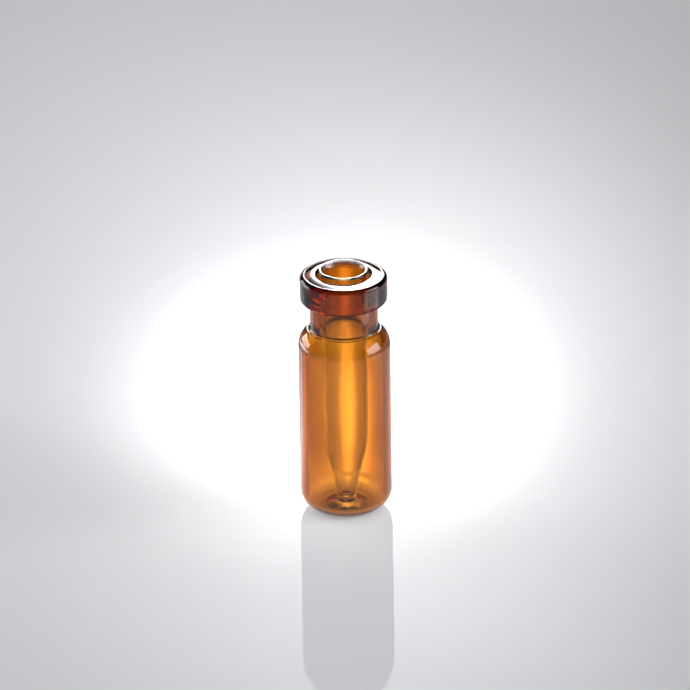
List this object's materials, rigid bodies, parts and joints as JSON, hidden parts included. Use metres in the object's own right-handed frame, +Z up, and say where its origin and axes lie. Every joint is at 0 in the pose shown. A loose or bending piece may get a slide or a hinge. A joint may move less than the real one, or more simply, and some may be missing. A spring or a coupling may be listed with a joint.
{
  "type": "crimp neck sample vial",
  "caption": "Open crimp-neck sample vial of brown glass with a clear conical glass micro-insert fused to its floor, for small liquid samples.",
  "frame": {"origin": "centre of the foot ring, on the surface that the vial stands on", "axes": "+Z up along the common axis of the vial and its insert; X and Y are equal, because the part is round"},
  "size_m": [0.0116, 0.0116, 0.0326],
  "materials": {
    "amber_glass": "clear brown tube glass, fire-polished",
    "clear_glass": "clear colourless tube glass, fire-polished"
  },
  "bodies": {
    "root": {"vial": "amber_glass", "micro_insert": "clear_glass"}
  },
  "joints": []
}
